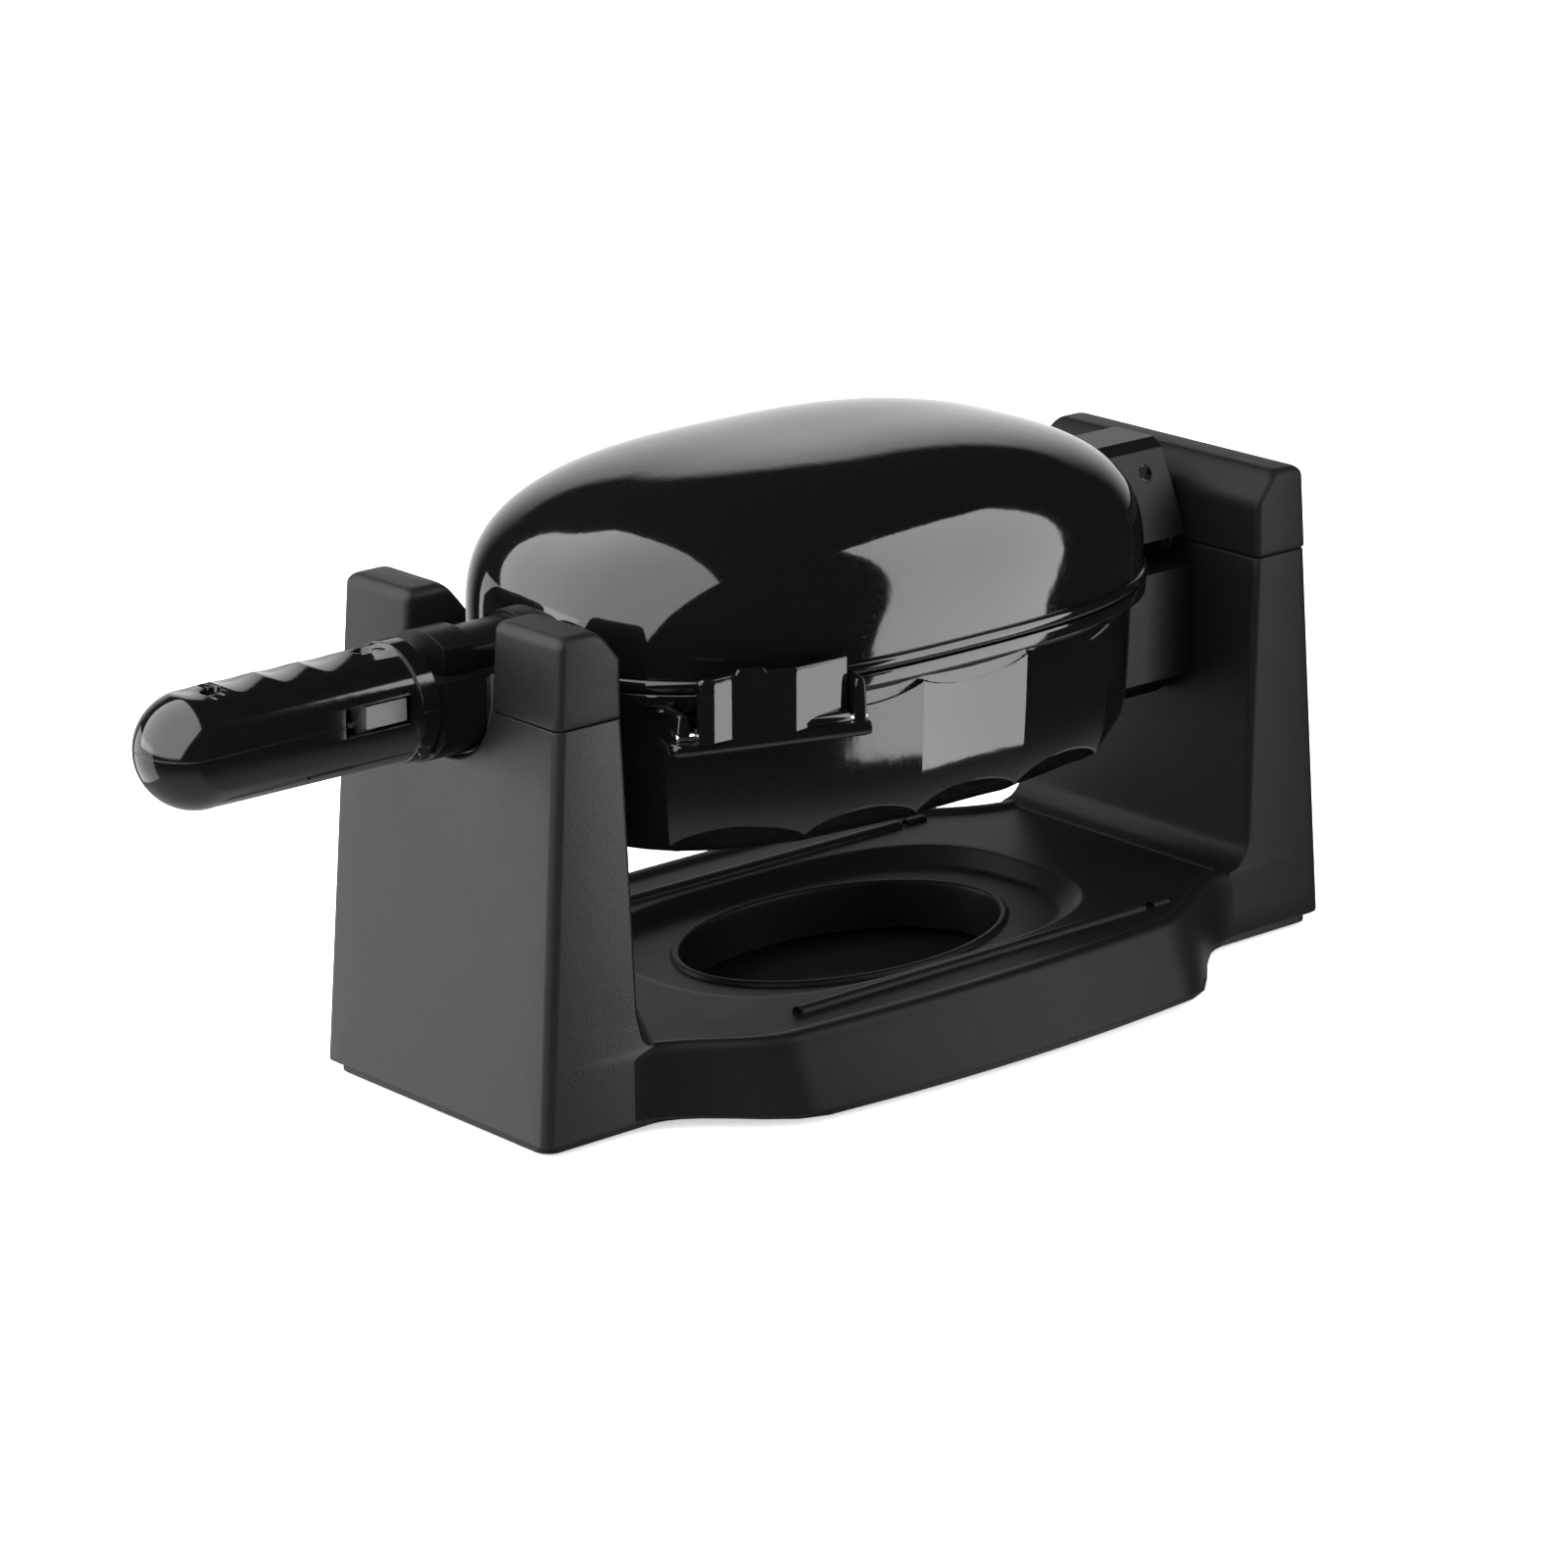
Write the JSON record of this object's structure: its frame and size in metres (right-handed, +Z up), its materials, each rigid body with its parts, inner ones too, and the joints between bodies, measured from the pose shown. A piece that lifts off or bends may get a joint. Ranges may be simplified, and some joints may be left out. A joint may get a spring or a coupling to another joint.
{
  "type": "waffle cone maker",
  "caption": "Waffle cone maker whose oval body, with two hinged heated plates, turns over between two pylons on a tray base and has a folding handle.",
  "frame": {"origin": "on the table, under the middle of the overall outline with the lid shut and the handle straight out", "axes": "+X along the turning axis, from the handle to the rear pylon; +Z up; the latch is on the -Y side"},
  "size_m": [0.4995, 0.2016, 0.2171],
  "materials": {
    "base_satin": "fine satin grain",
    "cap_satin": "fine satin grain",
    "under_black": "fine matt grain",
    "foot_rubber": "soft matt",
    "inlet_black": "soft matt",
    "screw_steel": "zinc plated",
    "bearing_nylon": "moulded, black",
    "shell_gloss": "high gloss",
    "hinge_gloss": "satin gloss",
    "grip_gloss": "high gloss",
    "plate_coating": "cast, with a dark non-stick coating",
    "post_steel": "zinc plated",
    "heater_steel": "heat-tinted sheath",
    "pan_steel": "bright sheet",
    "ceramic": "ceramic",
    "arm_steel": "pressed plate",
    "pin_steel": "ground",
    "shaft_alloy": "die cast",
    "slide_grey": "light grey gloss",
    "spring_steel": "bright wire"
  },
  "bodies": {
    "stand": {"base_housing": "base_satin", "under_plate": "under_black", "front_cap_near": "cap_satin", "front_cap_far": "cap_satin", "rear_cap": "cap_satin", "saddle_liner": "bearing_nylon", "shaft_bearing": "bearing_nylon", "rubber_feet": "foot_rubber", "under_screws": "screw_steel", "cord_inlet": "inlet_black"},
    "turning_body": {"lower_shell": "shell_gloss", "lower_posts": "post_steel", "lower_plate": "plate_coating", "lower_heater": "heater_steel", "lower_pan": "pan_steel", "lower_thermostat": "ceramic", "lower_plate_screws": "screw_steel", "lower_neck": "hinge_gloss", "lower_hinge_box": "hinge_gloss", "hinge_arm": "arm_steel", "hinge_pin": "pin_steel", "hollow_shaft": "shaft_alloy", "flange_screws": "screw_steel", "shaft_ring": "spring_steel", "fold_pin": "pin_steel", "latch_bracket": "shell_gloss", "latch_pin": "pin_steel"},
    "lid": {"lid_shell": "shell_gloss", "lid_posts": "post_steel", "upper_plate": "plate_coating", "upper_heater": "heater_steel", "upper_pan": "pan_steel", "upper_thermostat": "ceramic", "upper_plate_screws": "screw_steel", "lid_neck": "hinge_gloss", "upper_hinge_box": "hinge_gloss"},
    "latch": {"latch_lever": "shell_gloss"},
    "grip": {"grip_upper": "grip_gloss", "grip_lower": "grip_gloss", "grip_screws": "screw_steel", "lock_spring": "spring_steel"},
    "fold_lock": {"lock_slide": "slide_grey"}
  },
  "joints": [
    {"name": "flip", "type": "hinge", "parent": "stand", "child": "turning_body", "pos_m": [0.04325, 0, 0.154], "axis": [1, 0, 0], "range_deg": [-180, 0]},
    {"name": "lid_open", "type": "hinge", "parent": "turning_body", "child": "lid", "pos_m": [0.19475, 0, 0.179], "axis": [0, 1, 0], "range_deg": [0, 95]},
    {"name": "handle_fold", "type": "hinge", "parent": "turning_body", "child": "grip", "pos_m": [-0.14625, 0, 0.14], "axis": [0, -1, 0], "range_deg": [0, 90]},
    {"name": "side_latch", "type": "hinge", "parent": "turning_body", "child": "latch", "pos_m": [-0.03632, -0.08167, 0.142], "axis": [0.9496, -0.3135, 0], "range_deg": [0, 25]},
    {"name": "lock_slide", "type": "slide", "parent": "grip", "child": "fold_lock", "axis": [-1, 0, 0], "range_m": [0, 0.009], "stiffness_N_per_m": 120, "springref_m": -0.004, "deforming": ["lock_spring"]}
  ]
}
